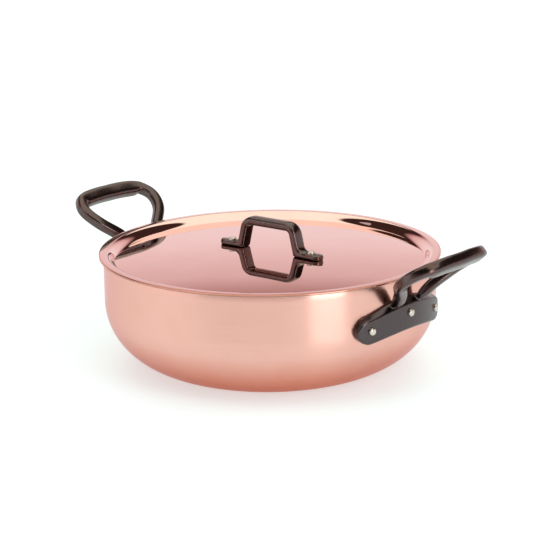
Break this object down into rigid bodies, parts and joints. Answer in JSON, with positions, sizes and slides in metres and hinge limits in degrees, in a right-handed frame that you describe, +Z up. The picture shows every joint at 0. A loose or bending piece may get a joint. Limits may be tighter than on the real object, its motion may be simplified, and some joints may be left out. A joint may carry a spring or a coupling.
{
  "type": "saute pan with lid",
  "caption": "Wide copper saute pan with rounded base, steel lining, riveted cast-iron loop handles and a loose dished lid with its own cast handle.",
  "frame": {"origin": "centre of the pan's flat base, on the surface it stands on", "axes": "+Z up; +X through the middle of one side handle, with the other at -X"},
  "size_m": [0.403, 0.292, 0.1284],
  "materials": {
    "copper": "polished copper, pinkish, satin brushed on the pan's side and bright on the lid",
    "steel_lining": "satin stainless steel",
    "cast_iron": "dark satin cast iron with a fine grain",
    "rivet_steel": "smooth stainless steel"
  },
  "bodies": {
    "pan": {"pan_copper": "copper", "pan_steel_lining": "steel_lining", "right_side_handle": "cast_iron", "left_side_handle": "cast_iron", "right_rivet_near": "rivet_steel", "right_rivet_middle": "rivet_steel", "right_rivet_far": "rivet_steel", "left_rivet_near": "rivet_steel", "left_rivet_middle": "rivet_steel", "left_rivet_far": "rivet_steel"},
    "lid": {"lid_copper": "copper", "lid_steel_lining": "steel_lining", "lid_handle": "cast_iron", "lid_rivet_right": "rivet_steel", "lid_rivet_left": "rivet_steel"}
  },
  "joints": [
    {"name": "lid_lift", "type": "slide", "parent": "pan", "child": "lid", "axis": [0, 0, 1], "range_m": [0, 0.15]}
  ]
}
